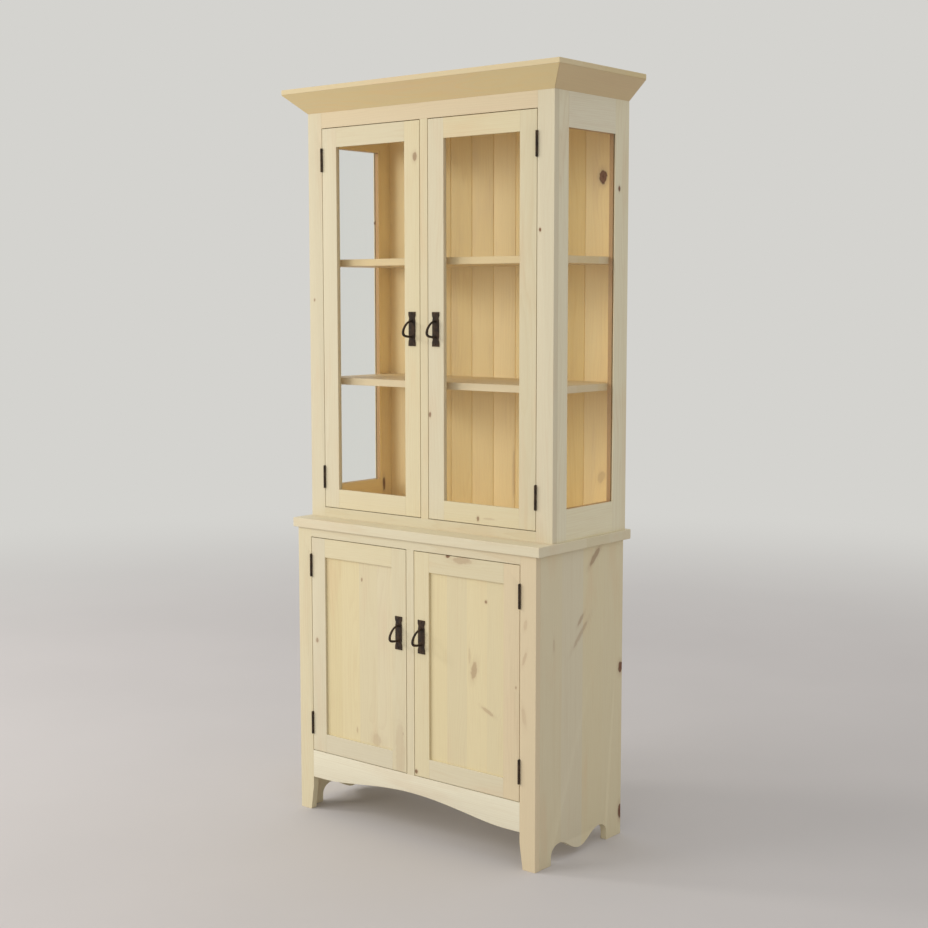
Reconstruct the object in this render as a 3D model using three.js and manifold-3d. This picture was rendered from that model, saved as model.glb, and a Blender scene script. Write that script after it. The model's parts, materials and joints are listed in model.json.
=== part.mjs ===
// A step back cupboard: a glazed upper cabinet that stands back on a deeper base with two panelled doors.
// Lengths are millimetres and +Z is up. The front faces -Y; left and right are as seen from the front.
// The origin is on the floor, under the middle of the cupboard's overall box.

import * as THREE from "three";
import { mergeVertices } from "three/addons/utils/BufferGeometryUtils.js";
import Module from "manifold-3d";

const wasm = await Module();
wasm.setup();

// Carcasses
const BASE_WIDTH = 840;
const BASE_DEPTH = 390;
const BASE_HEIGHT = 815;
const UPPER_WIDTH = 850;
const UPPER_HEIGHT = 1177;
const STEP_BACK = 61;
const SIDE_THICKNESS = 19;
const FRAME_THICKNESS = 19;
const SHELF_THICKNESS = 19;
const BACK_THICKNESS = 12;
const DADO_DEPTH = 6;

// Waist board between the two cabinets
const WAIST_THICKNESS = 26;
const WAIST_FRONT_OVERHANG = 7;
const WAIST_SIDE_OVERHANG = 14;
const WAIST_BACK_OVERHANG = 15;

// Face frames
const BASE_STILE = 50;
const UPPER_STILE = 52;
const CENTRE_STILE = 26;
const BASE_TOP_RAIL = 24;
const UPPER_BOTTOM_RAIL = 27;
const UPPER_TOP_RAIL = 93;

// Legs and the arched apron between them
const LEG_HEIGHT = 97;
const LEG_TAPER = 10;
const LEG_TAPER_HEIGHT = 70;
const APRON_HEIGHT = 78;
const ARCH_SHOULDER = 50;
const ARCH_RISE = 28;
const ARCH_FOOT_HANDLE_SHARE = 0.75;
const ARCH_TOP_HANDLE_SHARE = 0.4;
const ARCH_STEPS = 12;

// Scalloped foot line of the base sides, measured back from the front of the face frame
const SCALLOP_START = 69;
const SCALLOP_END = 322;
const SCALLOP_PEAK = 51;
const SCALLOP_TIP = 16;
const SCALLOP_SHOULDER = 36;
const SCALLOP_UPRIGHT = 22;
const SCALLOP_STEPS = 10;
const SHOULDER_STEPS = 5;

// Side windows of the upper cabinet
const WINDOW_FRONT_STILE = 41;
const WINDOW_REAR_STILE = 62;
const WINDOW_BOTTOM_RAIL = 82;
const WINDOW_TOP_RAIL = 139;

// Shelves, as heights of their undersides
const BASE_SHELF_HEIGHT = 480;
const LOWER_SHELF_HEIGHT = 1216;
const HIGHER_SHELF_HEIGHT = 1546;
const BASE_SHELF_SETBACK = 45;
const UPPER_SHELF_SETBACK = 34;

// Tongued and grooved back boards
const BOARD_PITCH = 78;
const JOINT_WIDTH = 3;
const JOINT_DEPTH = 2;

// Crown: three sloped boards under an overhanging cap
const CROWN_HEIGHT = 51;
const CROWN_PROJECTION = 52;
const CROWN_BOARD = 19;
const CROWN_MITRE_GAP = 0.3;
const CAP_THICKNESS = 14;

// Doors, hung inside their openings
const DOOR_GAP = 2;
const DOOR_THICKNESS = 20;
const DOOR_RAIL = 52;
const BASE_DOOR_STILE = 51;
const UPPER_DOOR_STILE = 53;
const PANEL_THICKNESS = 8;
const PANEL_RECESS = 6;
const PANEL_GROOVE = 9;
const PANEL_FLOAT = 0.5;

// Panes, each against a lip and held by a mitred stop: full in the sides, a small bead in the doors
const PANE_THICKNESS = 4;
const SIDE_PANE_LIP = 3;
const DOOR_PANE_LIP = 8;
const PANE_RABBET = 9;
const PANE_PLAY = 0.5;
const BEAD_WIDTH = 5;
const BEAD_DEPTH = 5;

// Butt hinges, let into the edges of door and frame with the barrel proud of the front
const HINGE_HEIGHT = 65;
const BASE_HINGE_INSET = 79;
const UPPER_HINGE_INSET = 85;
const BARREL_RADIUS = 2.75;
const BARREL_CLEARANCE = 0.5;
const BARREL_SIDES = 12;
const KNUCKLES = 5;
const KNUCKLE_GAP = 0.4;
const PIN_RADIUS = 1.4;
const PIN_PLAY = 0.3;
const PIN_SIDES = 8;
const LEAF_WIDTH = 16;
const LEAF_THICKNESS = 1.5;

// Forged pulls: a waisted back plate with a drooping grip
const BASE_PULL_HEIGHT = 560;
const UPPER_PULL_HEIGHT = 1376;
const PLATE_HEIGHT = 91;
const PLATE_WIDTH = 24;
const PLATE_THICKNESS = 3;
const GRIP_RADIUS = 3;
const GRIP_SIDES = 8;
const GRIP_STEPS = 16;
const GRIP_REACH = 38;
const GRIP_HEIGHT = 43;

// Half the plate's outline, as shares of half its width and half its height, from the bottom up
const PLATE_OUTLINE_SHARES = [
  [1, -1],
  [1, -0.74],
  [0.8, -0.6],
  [0.92, -0.44],
  [0.92, 0.5],
  [0.78, 0.64],
  [1, 0.78],
  [1, 1],
];

// The grip's centre line from its upper root to its lower one, as shares of its reach and its height
const GRIP_ROUTE_SHARES = [
  [0, 0.5],
  [0.38, 0.43],
  [0.66, 0.28],
  [0.87, 0.08],
  [0.98, -0.12],
  [0.98, -0.28],
  [0.84, -0.4],
  [0.5, -0.46],
  [0, -0.5],
];

// Heights and planes that follow from the sizes above
const halfBase = BASE_WIDTH / 2;
const halfUpper = UPPER_WIDTH / 2;
const halfCentreStile = CENTRE_STILE / 2;
const waistTop = BASE_HEIGHT + WAIST_THICKNESS;
const upperTop = waistTop + UPPER_HEIGHT;
const crownBottom = upperTop - CROWN_HEIGHT;
const apronTop = LEG_HEIGHT + APRON_HEIGHT;
const frameBack = FRAME_THICKNESS;
const upperFrameBack = STEP_BACK + FRAME_THICKNESS;
const backFace = BASE_DEPTH - BACK_THICKNESS;
const baseInside = halfBase - SIDE_THICKNESS;
const upperInside = halfUpper - SIDE_THICKNESS;
const upperFloorTop = waistTop + UPPER_BOTTOM_RAIL;
const windowFront = upperFrameBack + WINDOW_FRONT_STILE;
const windowRear = BASE_DEPTH - WINDOW_REAR_STILE;
const windowBottom = waistTop + WINDOW_BOTTOM_RAIL;
const windowTop = upperTop - WINDOW_TOP_RAIL;
const pinOffset = BARREL_RADIUS + BARREL_CLEARANCE;
const frontmost = -GRIP_REACH - GRIP_RADIUS;
const LEFT = -1;
const RIGHT = 1;

// Finishes, one new material for each piece
const pine = (color) => () => new THREE.MeshStandardMaterial({ color, roughness: 0.6, metalness: 0 });
const paleWood = pine("#e3d3aa");
const insideWood = pine("#d2b27c");
const panelWood = pine("#dfc896");
const darkIron = () => new THREE.MeshStandardMaterial({ color: "#2b231d", roughness: 0.55, metalness: 0.8 });
const clearGlass = () =>
  new THREE.MeshStandardMaterial({ color: "#eef3f1", roughness: 0.05, transparent: true, opacity: 0.2 });

// Stand a slab drawn flat in front view (x, z), with its thickness along Y, or in side view (y, z), along X
const FRONT_VIEW = new THREE.Matrix4().makeBasis(
  new THREE.Vector3(1, 0, 0),
  new THREE.Vector3(0, 0, 1),
  new THREE.Vector3(0, -1, 0),
);
const SIDE_VIEW = new THREE.Matrix4().makeBasis(
  new THREE.Vector3(0, 1, 0),
  new THREE.Vector3(0, 0, 1),
  new THREE.Vector3(1, 0, 0),
);

function drawing(points) {
  return new THREE.Shape(points.map(([a, b]) => new THREE.Vector2(a, b)));
}

function flatSlab(shape, thickness) {
  return new THREE.ExtrudeGeometry(shape, { depth: thickness, bevelEnabled: false });
}

function frontSlab(shape, yFront, thickness) {
  return flatSlab(shape, thickness).applyMatrix4(FRONT_VIEW).translate(0, yFront + thickness, 0);
}

function sideSlab(shape, xLow, thickness) {
  return flatSlab(shape, thickness).applyMatrix4(SIDE_VIEW).translate(xLow, 0, 0);
}

function planSlab(shape, zLow, thickness) {
  return flatSlab(shape, thickness).translate(0, 0, zLow);
}

// A box between two corners, given in any order
function block(cornerA, cornerB) {
  const low = cornerA.map((value, i) => Math.min(value, cornerB[i]));
  const size = cornerA.map((value, i) => Math.abs(value - cornerB[i]));
  const centre = low.map((value, i) => value + size[i] / 2);
  return new THREE.BoxGeometry(...size).translate(...centre);
}

// An upright round bar
function upright(radius, sides, zLow, zHigh) {
  return new THREE.CylinderGeometry(radius, radius, zHigh - zLow, sides)
    .rotateX(Math.PI / 2)
    .translate(0, 0, (zLow + zHigh) / 2);
}

function solidOf(geometry) {
  const bare = geometry.clone();
  bare.deleteAttribute("normal");
  bare.deleteAttribute("uv");
  const welded = mergeVertices(bare);
  const vertProperties = new Float32Array(welded.getAttribute("position").array);
  const triVerts = new Uint32Array(welded.getIndex().array);
  return new wasm.Manifold(new wasm.Mesh({ numProp: 3, vertProperties, triVerts }));
}

function geometryOf(solid) {
  const mesh = solid.getMesh();
  const indexed = new THREE.BufferGeometry();
  indexed.setAttribute("position", new THREE.BufferAttribute(new Float32Array(mesh.vertProperties), 3));
  indexed.setIndex(new THREE.BufferAttribute(new Uint32Array(mesh.triVerts), 1));
  const flat = indexed.toNonIndexed();
  flat.computeVertexNormals();
  return flat;
}

function cut(geometry, tools) {
  return geometryOf(tools.reduce((rest, tool) => rest.subtract(solidOf(tool)), solidOf(geometry)));
}

function join(geometries) {
  return geometryOf(geometries.map(solidOf).reduce((whole, next) => whole.add(next)));
}

function piece(name, geometry, finish) {
  const mesh = new THREE.Mesh(geometry, finish());
  mesh.name = name;
  return mesh;
}

function sideName(side) {
  return side === LEFT ? "left" : "right";
}

// A flat ring seen from the front, between an outer and an inner box of x and z
function ringDrawing(outer, inner) {
  const shape = drawing(cornersOf(outer));
  shape.holes.push(new THREE.Path(drawing(cornersOf(inner)).getPoints()));
  return shape;
}

function cornersOf({ a0, a1, b0, b1 }) {
  return [
    [a0, b0],
    [a1, b0],
    [a1, b1],
    [a0, b1],
  ];
}

function grown({ a0, a1, b0, b1 }, by) {
  return { a0: a0 - by, a1: a1 + by, b0: b0 - by, b1: b1 + by };
}

// The z spans of a door's two hinges, above the door's lower edge
function hingeSpans(doorHeight, inset) {
  return [inset, doorHeight - inset].map((middle) => [middle - HINGE_HEIGHT / 2, middle + HINGE_HEIGHT / 2]);
}

// What the hinges of one door let into an edge at x, in direction `into`, behind a front at y
function hingeMortises(x, into, yFront, zBottom, spans) {
  return spans.map(([low, high]) =>
    block([x, yFront, zBottom + low], [x + into * LEAF_THICKNESS, yFront + LEAF_WIDTH, zBottom + high]),
  );
}

// The four doors, with where each stands
const baseDoor = {
  prefix: "base",
  front: 0,
  opening: halfBase - BASE_STILE,
  bottom: apronTop + DOOR_GAP,
  top: BASE_HEIGHT - BASE_TOP_RAIL - DOOR_GAP,
  stile: BASE_DOOR_STILE,
  hingeInset: BASE_HINGE_INSET,
  pullHeight: BASE_PULL_HEIGHT,
};
const upperDoor = {
  prefix: "upper",
  front: STEP_BACK,
  opening: halfUpper - UPPER_STILE,
  bottom: upperFloorTop + DOOR_GAP,
  top: upperTop - UPPER_TOP_RAIL - DOOR_GAP,
  stile: UPPER_DOOR_STILE,
  hingeInset: UPPER_HINGE_INSET,
  pullHeight: UPPER_PULL_HEIGHT,
};
for (const door of [baseDoor, upperDoor]) {
  door.width = door.opening - halfCentreStile - 2 * DOOR_GAP;
  door.height = door.top - door.bottom;
  door.hinges = hingeSpans(door.height, door.hingeInset);
}

// Base side: a board with dadoes inside and a scalloped foot line
function scallopedOutline() {
  const middle = (SCALLOP_START + SCALLOP_END) / 2;
  const halfWave = middle - SCALLOP_START - SCALLOP_SHOULDER;
  const shoulderRise = SCALLOP_PEAK - SCALLOP_UPRIGHT;
  const front = [[SCALLOP_START, 0]];
  for (let i = 0; i <= SHOULDER_STEPS; i++) {
    const turn = ((i / SHOULDER_STEPS) * Math.PI) / 2;
    const back = SCALLOP_SHOULDER * (1 - Math.cos(turn));
    front.push([SCALLOP_START + back, SCALLOP_UPRIGHT + shoulderRise * Math.sin(turn)]);
  }
  for (let i = 1; i <= SCALLOP_STEPS; i++) {
    const share = i / SCALLOP_STEPS;
    const fall = ((SCALLOP_PEAK - SCALLOP_TIP) * (1 - Math.cos(Math.PI * share))) / 2;
    front.push([middle - halfWave * (1 - share), SCALLOP_PEAK - fall]);
  }
  const rear = front.slice(0, -1).map(([y, z]) => [2 * middle - y, z]);
  return [...front, ...rear.reverse()];
}

function baseSide(side) {
  const outline = [
    [frameBack, 0],
    ...scallopedOutline(),
    [BASE_DEPTH, 0],
    [BASE_DEPTH, BASE_HEIGHT],
    [frameBack, BASE_HEIGHT],
  ];
  const board = sideSlab(drawing(outline), side === RIGHT ? baseInside : -halfBase, SIDE_THICKNESS);
  const mouth = side * baseInside;
  const floor = side * (baseInside + DADO_DEPTH);
  const dadoes = [
    [frameBack, apronTop - SHELF_THICKNESS],
    [BASE_SHELF_SETBACK, BASE_SHELF_HEIGHT],
  ].map(([front, low]) => block([mouth, front, low], [floor, backFace, low + SHELF_THICKNESS]));
  return piece(`base_side_${sideName(side)}`, cut(board, dadoes), paleWood);
}

// Face frame members of the base
function baseStile(side) {
  const inner = halfBase - BASE_STILE;
  const outline = [
    [side * inner, LEG_TAPER_HEIGHT],
    [side * (inner + LEG_TAPER), 0],
    [side * halfBase, 0],
    [side * halfBase, BASE_HEIGHT],
    [side * inner, BASE_HEIGHT],
  ];
  const stile = frontSlab(drawing(outline), 0, FRAME_THICKNESS);
  const mortises = hingeMortises(side * inner, side, 0, baseDoor.bottom, baseDoor.hinges);
  return piece(`base_${sideName(side)}_stile`, cut(stile, mortises), paleWood);
}

function apron() {
  const half = halfBase - BASE_STILE;
  const foot = half - ARCH_SHOULDER;
  const archTop = LEG_HEIGHT + ARCH_RISE;
  const shape = new THREE.Shape();
  shape.moveTo(-half, apronTop);
  shape.lineTo(-half, LEG_HEIGHT);
  shape.lineTo(-foot, LEG_HEIGHT);
  shape.bezierCurveTo(
    -foot * ARCH_FOOT_HANDLE_SHARE, LEG_HEIGHT, -foot * ARCH_TOP_HANDLE_SHARE, archTop, 0, archTop,
  );
  shape.bezierCurveTo(
    foot * ARCH_TOP_HANDLE_SHARE, archTop, foot * ARCH_FOOT_HANDLE_SHARE, LEG_HEIGHT, foot, LEG_HEIGHT,
  );
  shape.lineTo(half, LEG_HEIGHT);
  shape.lineTo(half, apronTop);
  const slab = new THREE.ExtrudeGeometry(shape, {
    depth: FRAME_THICKNESS,
    bevelEnabled: false,
    curveSegments: ARCH_STEPS,
  });
  return piece("base_apron", slab.applyMatrix4(FRONT_VIEW).translate(0, FRAME_THICKNESS, 0), paleWood);
}

function baseRails() {
  const half = halfBase - BASE_STILE;
  const railBottom = BASE_HEIGHT - BASE_TOP_RAIL;
  return [
    piece("base_top_rail", block([-half, 0, railBottom], [half, frameBack, BASE_HEIGHT]), paleWood),
    piece(
      "base_centre_stile",
      block([-halfCentreStile, 0, apronTop], [halfCentreStile, frameBack, railBottom]),
      paleWood,
    ),
    apron(),
  ];
}

// Boards across the inside of the base, housed in the sides' dadoes
function baseBoards() {
  const half = baseInside + DADO_DEPTH;
  const shelfTop = BASE_SHELF_HEIGHT + SHELF_THICKNESS;
  const bottom = block([-half, frameBack, apronTop - SHELF_THICKNESS], [half, backFace, apronTop]);
  const shelf = block([-half, BASE_SHELF_SETBACK, BASE_SHELF_HEIGHT], [half, backFace, shelfTop]);
  return [piece("base_bottom_board", bottom, paleWood), piece("base_shelf", shelf, paleWood)];
}

// A back of tongued and grooved boards, with a vee at each joint on the inside
function boardedBack(name, halfWidth, zLow, zHigh, finish) {
  const outline = [
    [halfWidth, BASE_DEPTH],
    [-halfWidth, BASE_DEPTH],
    [-halfWidth, backFace],
  ];
  const halfJoint = JOINT_WIDTH / 2;
  for (let x = -halfWidth + BOARD_PITCH; x < halfWidth - JOINT_WIDTH; x += BOARD_PITCH) {
    outline.push([x - halfJoint, backFace], [x, backFace + JOINT_DEPTH], [x + halfJoint, backFace]);
  }
  outline.push([halfWidth, backFace]);
  return piece(name, planSlab(drawing(outline), zLow, zHigh - zLow), finish);
}

function waistBoard() {
  const half = halfBase + WAIST_SIDE_OVERHANG;
  return piece(
    "waist_board",
    block([-half, -WAIST_FRONT_OVERHANG, BASE_HEIGHT], [half, BASE_DEPTH + WAIST_BACK_OVERHANG, waistTop]),
    paleWood,
  );
}

// Upper side: a framed window with a rabbet for its pane and dadoes for the boards
const sideWindow = { a0: windowFront, a1: windowRear, b0: windowBottom, b1: windowTop };

function upperShelfSpans() {
  const front = STEP_BACK + UPPER_SHELF_SETBACK;
  return { front, earEnd: windowFront - PANE_RABBET, rearEar: windowRear + PANE_RABBET };
}

function upperSideFrame(side) {
  const outer = { a0: upperFrameBack, a1: BASE_DEPTH, b0: waistTop, b1: upperTop };
  const xLow = side === RIGHT ? upperInside : -halfUpper;
  const frame = sideSlab(ringDrawing(outer, sideWindow), xLow, SIDE_THICKNESS);
  const rebated = grown(sideWindow, PANE_RABBET);
  const rabbet = block(
    [side * upperInside, rebated.a0, rebated.b0],
    [side * (halfUpper - SIDE_PANE_LIP), rebated.a1, rebated.b1],
  );
  const { front, earEnd, rearEar } = upperShelfSpans();
  const dadoes = [
    [upperFrameBack, backFace, upperFloorTop - SHELF_THICKNESS],
    [front, earEnd, LOWER_SHELF_HEIGHT],
    [rearEar, backFace, LOWER_SHELF_HEIGHT],
    [front, earEnd, HIGHER_SHELF_HEIGHT],
    [rearEar, backFace, HIGHER_SHELF_HEIGHT],
  ].map(([near, far, low]) =>
    block([side * upperInside, near, low], [side * (upperInside + DADO_DEPTH), far, low + SHELF_THICKNESS]),
  );
  return piece(`upper_side_frame_${sideName(side)}`, cut(frame, [rabbet, ...dadoes]), paleWood);
}

function sidePane(side) {
  const { a0, a1, b0, b1 } = grown(sideWindow, PANE_RABBET - PANE_PLAY);
  const outer = side * (halfUpper - SIDE_PANE_LIP);
  const pane = block([outer, a0, b0], [outer - side * PANE_THICKNESS, a1, b1]);
  return piece(`side_pane_${sideName(side)}`, pane, clearGlass);
}

function sideStop(side) {
  const shape = ringDrawing(grown(sideWindow, PANE_RABBET), sideWindow);
  const depth = SIDE_THICKNESS - SIDE_PANE_LIP - PANE_THICKNESS;
  const xLow = side === RIGHT ? upperInside : -upperInside - depth;
  return piece(`side_glass_stop_${sideName(side)}`, sideSlab(shape, xLow, depth), insideWood);
}

// Face frame members of the upper cabinet
function upperStile(side) {
  const inner = halfUpper - UPPER_STILE;
  const stile = block([side * inner, STEP_BACK, waistTop], [side * halfUpper, upperFrameBack, upperTop]);
  const mortises = hingeMortises(side * inner, side, STEP_BACK, upperDoor.bottom, upperDoor.hinges);
  return piece(`upper_${sideName(side)}_stile`, cut(stile, mortises), paleWood);
}

function upperRails() {
  const half = halfUpper - UPPER_STILE;
  const topRailBottom = upperTop - UPPER_TOP_RAIL;
  const member = (name, halfWidth, zLow, zHigh) =>
    piece(name, block([-halfWidth, STEP_BACK, zLow], [halfWidth, upperFrameBack, zHigh]), paleWood);
  return [
    member("upper_bottom_rail", half, waistTop, upperFloorTop),
    member("upper_top_rail", half, topRailBottom, upperTop),
    member("upper_centre_stile", halfCentreStile, upperFloorTop, topRailBottom),
  ];
}

function upperFloor() {
  const half = upperInside + DADO_DEPTH;
  return piece(
    "upper_bottom_board",
    block([-half, upperFrameBack, upperFloorTop - SHELF_THICKNESS], [half, backFace, upperFloorTop]),
    insideWood,
  );
}

// A shelf with ears that go into the dadoes, cut back between them to clear the side window
function upperShelf(name, zLow) {
  const { front, earEnd, rearEar } = upperShelfSpans();
  const rightEdge = [
    [upperInside + DADO_DEPTH, front],
    [upperInside + DADO_DEPTH, earEnd],
    [upperInside, earEnd],
    [upperInside, rearEar],
    [upperInside + DADO_DEPTH, rearEar],
    [upperInside + DADO_DEPTH, backFace],
  ];
  const leftEdge = rightEdge.map(([x, y]) => [-x, y]).reverse();
  return piece(name, planSlab(drawing([...rightEdge, ...leftEdge]), zLow, SHELF_THICKNESS), insideWood);
}

// Crown board as drawn across its run: outwards and up from the cabinet's face
function crownProfile() {
  const slope = Math.atan2(CROWN_HEIGHT, CROWN_PROJECTION);
  return [
    [0, crownBottom],
    [CROWN_PROJECTION, upperTop],
    [CROWN_PROJECTION - CROWN_BOARD / Math.sin(slope), upperTop],
    [0, crownBottom + CROWN_BOARD / Math.cos(slope)],
  ];
}

// Moves each end's vertices along the run by how far out they stand, which mitres the corner
function mitre(geometry, axis, outwards, ends) {
  const position = geometry.getAttribute("position");
  const point = new THREE.Vector3();
  for (let i = 0; i < position.count; i++) {
    point.fromBufferAttribute(position, i);
    for (const { at, away } of ends) {
      if (Math.abs(point[axis] - at) < CROWN_MITRE_GAP / 2) {
        point[axis] += away * outwards(point);
        break;
      }
    }
    position.setXYZ(i, point.x, point.y, point.z);
  }
  return geometry;
}

function crownFront() {
  const run = halfUpper - CROWN_MITRE_GAP;
  const profile = crownProfile().map(([out, z]) => [STEP_BACK - out, z]);
  const board = sideSlab(drawing(profile), -run, 2 * run);
  const out = (point) => STEP_BACK - point.y;
  const ends = [LEFT, RIGHT].map((side) => ({ at: side * run, away: side }));
  return piece("crown_front", mitre(board, "x", out, ends), paleWood);
}

function crownSide(side) {
  const profile = crownProfile().map(([out, z]) => [side * (halfUpper + out), z]);
  const board = frontSlab(drawing(profile), STEP_BACK, BASE_DEPTH - STEP_BACK);
  const out = (point) => Math.abs(point.x) - halfUpper;
  return piece(`crown_${sideName(side)}`, mitre(board, "y", out, [{ at: STEP_BACK, away: -1 }]), paleWood);
}

function cap() {
  const half = halfUpper + CROWN_PROJECTION;
  const front = STEP_BACK - CROWN_PROJECTION;
  const board = block([-half, front, upperTop], [half, BASE_DEPTH, upperTop + CAP_THICKNESS]);
  return piece("crown_cap", board, paleWood);
}

// Doors are drawn about their pin: x = 0 and y = 0 on its axis, z = 0 at the door's lower edge,
// and `across` is the direction from the pin to the middle of the cupboard
function doorBox(door, across, inset) {
  const near = across * (DOOR_GAP / 2 + inset.stile);
  const far = across * (DOOR_GAP / 2 + door.width - inset.stile);
  return { a0: Math.min(near, far), a1: Math.max(near, far), b0: inset.rail, b1: door.height - inset.rail };
}

function doorFrameCuts(door, across) {
  return hingeMortises((across * DOOR_GAP) / 2, across, pinOffset, 0, door.hinges);
}

function doorFrame(door, across, housing) {
  const outer = doorBox(door, across, { stile: 0, rail: 0 });
  const inner = doorBox(door, across, { stile: door.stile, rail: DOOR_RAIL });
  const frame = frontSlab(ringDrawing(outer, inner), pinOffset, DOOR_THICKNESS);
  return cut(frame, [housing(inner), ...doorFrameCuts(door, across)]);
}

function panelledDoor(door, across, name) {
  const inner = doorBox(door, across, { stile: door.stile, rail: DOOR_RAIL });
  const grooved = grown(inner, PANEL_GROOVE);
  const front = pinOffset + PANEL_RECESS;
  const back = front + PANEL_THICKNESS;
  const groove = () => block([grooved.a0, front, grooved.b0], [grooved.a1, back, grooved.b1]);
  const fielded = grown(inner, PANEL_GROOVE - PANEL_FLOAT);
  const panel = block([fielded.a0, front, fielded.b0], [fielded.a1, back, fielded.b1]);
  return [
    piece(`${name}_frame`, doorFrame(door, across, groove), paleWood),
    piece(`${name}_panel`, panel, panelWood),
  ];
}

function glazedDoor(door, across, name) {
  const inner = doorBox(door, across, { stile: door.stile, rail: DOOR_RAIL });
  const rebated = grown(inner, PANE_RABBET);
  const paneFront = pinOffset + DOOR_PANE_LIP;
  const paneBack = paneFront + PANE_THICKNESS;
  const doorBack = pinOffset + DOOR_THICKNESS;
  const rabbet = () => block([rebated.a0, paneFront, rebated.b0], [rebated.a1, doorBack, rebated.b1]);
  const sheet = grown(inner, PANE_RABBET - PANE_PLAY);
  const pane = block([sheet.a0, paneFront, sheet.b0], [sheet.a1, paneBack, sheet.b1]);
  const bead = grown(inner, PANE_RABBET - BEAD_WIDTH);
  const stop = frontSlab(ringDrawing(rebated, bead), paneBack, BEAD_DEPTH);
  return [
    piece(`${name}_frame`, doorFrame(door, across, rabbet), paleWood),
    piece(`${name}_pane`, pane, clearGlass),
    piece(`${name}_glass_stop`, stop, paleWood),
  ];
}

// A hinge leaf about the pin, from zLow up, with every second knuckle from the one that firstKnuckle names
function leaf(into, zLow, firstKnuckle) {
  const pitch = HINGE_HEIGHT / KNUCKLES;
  const near = (into * DOOR_GAP) / 2;
  const far = near + into * LEAF_THICKNESS;
  const parts = [block([near, pinOffset, zLow], [far, pinOffset + LEAF_WIDTH, zLow + HINGE_HEIGHT])];
  for (let index = firstKnuckle; index < KNUCKLES; index += 2) {
    const low = zLow + index * pitch + (index === 0 ? 0 : KNUCKLE_GAP / 2);
    const high = zLow + (index + 1) * pitch - (index === KNUCKLES - 1 ? 0 : KNUCKLE_GAP / 2);
    parts.push(upright(BARREL_RADIUS, BARREL_SIDES, low, high));
    parts.push(block([near, 0, low], [far, pinOffset, high]));
  }
  return join(parts);
}

// The frame's leaf holds the pin, and the door's leaf is bored for it
function hingeLeaves(door, across, name) {
  return door.hinges.flatMap(([low, high], i) => {
    const hinge = `${name}_${i === 0 ? "lower" : "higher"}_hinge`;
    const pin = upright(PIN_RADIUS, PIN_SIDES, low, high);
    const bore = upright(PIN_RADIUS + PIN_PLAY, PIN_SIDES, low - KNUCKLE_GAP, high + KNUCKLE_GAP);
    return [
      piece(`${hinge}_frame_leaf`, join([leaf(-across, low, 0), pin]), darkIron),
      piece(`${hinge}_door_leaf`, cut(leaf(across, low, 1), [bore]), darkIron),
    ];
  });
}

// Pull, drawn about the middle of its back plate's rear face
function pullPlate() {
  const right = PLATE_OUTLINE_SHARES.map(([w, h]) => [(w * PLATE_WIDTH) / 2, (h * PLATE_HEIGHT) / 2]);
  const left = right.map(([x, z]) => [-x, z]).reverse();
  return frontSlab(drawing([...right, ...left]), -PLATE_THICKNESS, PLATE_THICKNESS);
}

function pullGrip() {
  const root = PLATE_THICKNESS / 2;
  const reach = GRIP_REACH - root;
  const points = GRIP_ROUTE_SHARES.map(
    ([out, up]) => new THREE.Vector3(0, -root - out * reach, up * GRIP_HEIGHT),
  );
  const section = new THREE.Shape();
  section.absarc(0, 0, GRIP_RADIUS, 0, 2 * Math.PI);
  return new THREE.ExtrudeGeometry(section, {
    extrudePath: new THREE.CatmullRomCurve3(points),
    steps: GRIP_STEPS,
    curveSegments: GRIP_SIDES / 2,
    bevelEnabled: false,
  });
}

function pull(door, across, name) {
  const mesh = piece(`${name}_pull`, join([pullPlate(), pullGrip()]), darkIron);
  const lockStile = DOOR_GAP / 2 + door.width - door.stile / 2;
  mesh.position.set(across * lockStile, pinOffset, door.pullHeight - door.bottom);
  return mesh;
}

function hungDoor(door, side, build) {
  const name = `${door.prefix}_${sideName(side)}_door`;
  const across = -side;
  const group = new THREE.Group();
  group.position.set(side * (door.opening - DOOR_GAP / 2), door.front - pinOffset, door.bottom);
  group.add(...build(door, across, name), ...hingeLeaves(door, across, name), pull(door, across, name));
  return group;
}

function baseCabinet() {
  const group = new THREE.Group();
  for (const side of [LEFT, RIGHT]) {
    group.add(baseSide(side), baseStile(side), hungDoor(baseDoor, side, panelledDoor));
  }
  const back = boardedBack("base_back", baseInside, apronTop - SHELF_THICKNESS, BASE_HEIGHT, paleWood);
  group.add(...baseRails(), ...baseBoards(), back, waistBoard());
  return group;
}

function upperCabinet() {
  const group = new THREE.Group();
  for (const side of [LEFT, RIGHT]) {
    group.add(upperSideFrame(side), sidePane(side), sideStop(side), upperStile(side), crownSide(side));
    group.add(hungDoor(upperDoor, side, glazedDoor));
  }
  const back = boardedBack("upper_back", upperInside, waistTop, upperTop, insideWood);
  group.add(...upperRails(), upperFloor(), back, crownFront(), cap());
  group.add(upperShelf("upper_lower_shelf", LOWER_SHELF_HEIGHT));
  group.add(upperShelf("upper_higher_shelf", HIGHER_SHELF_HEIGHT));
  return group;
}

const cupboard = new THREE.Group();
cupboard.add(baseCabinet(), upperCabinet());
cupboard.position.y = -(frontmost + BASE_DEPTH + WAIST_BACK_OVERHANG) / 2;

export default cupboard;
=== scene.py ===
"""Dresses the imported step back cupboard: pine boards, panes, butt hinges, forged pulls and a plain stage."""

import json
import math
import random

import bmesh
import bpy
from bpy.props import FloatProperty, FloatVectorProperty, IntProperty, PointerProperty
from mathutils import Matrix, Quaternion, Vector


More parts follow.
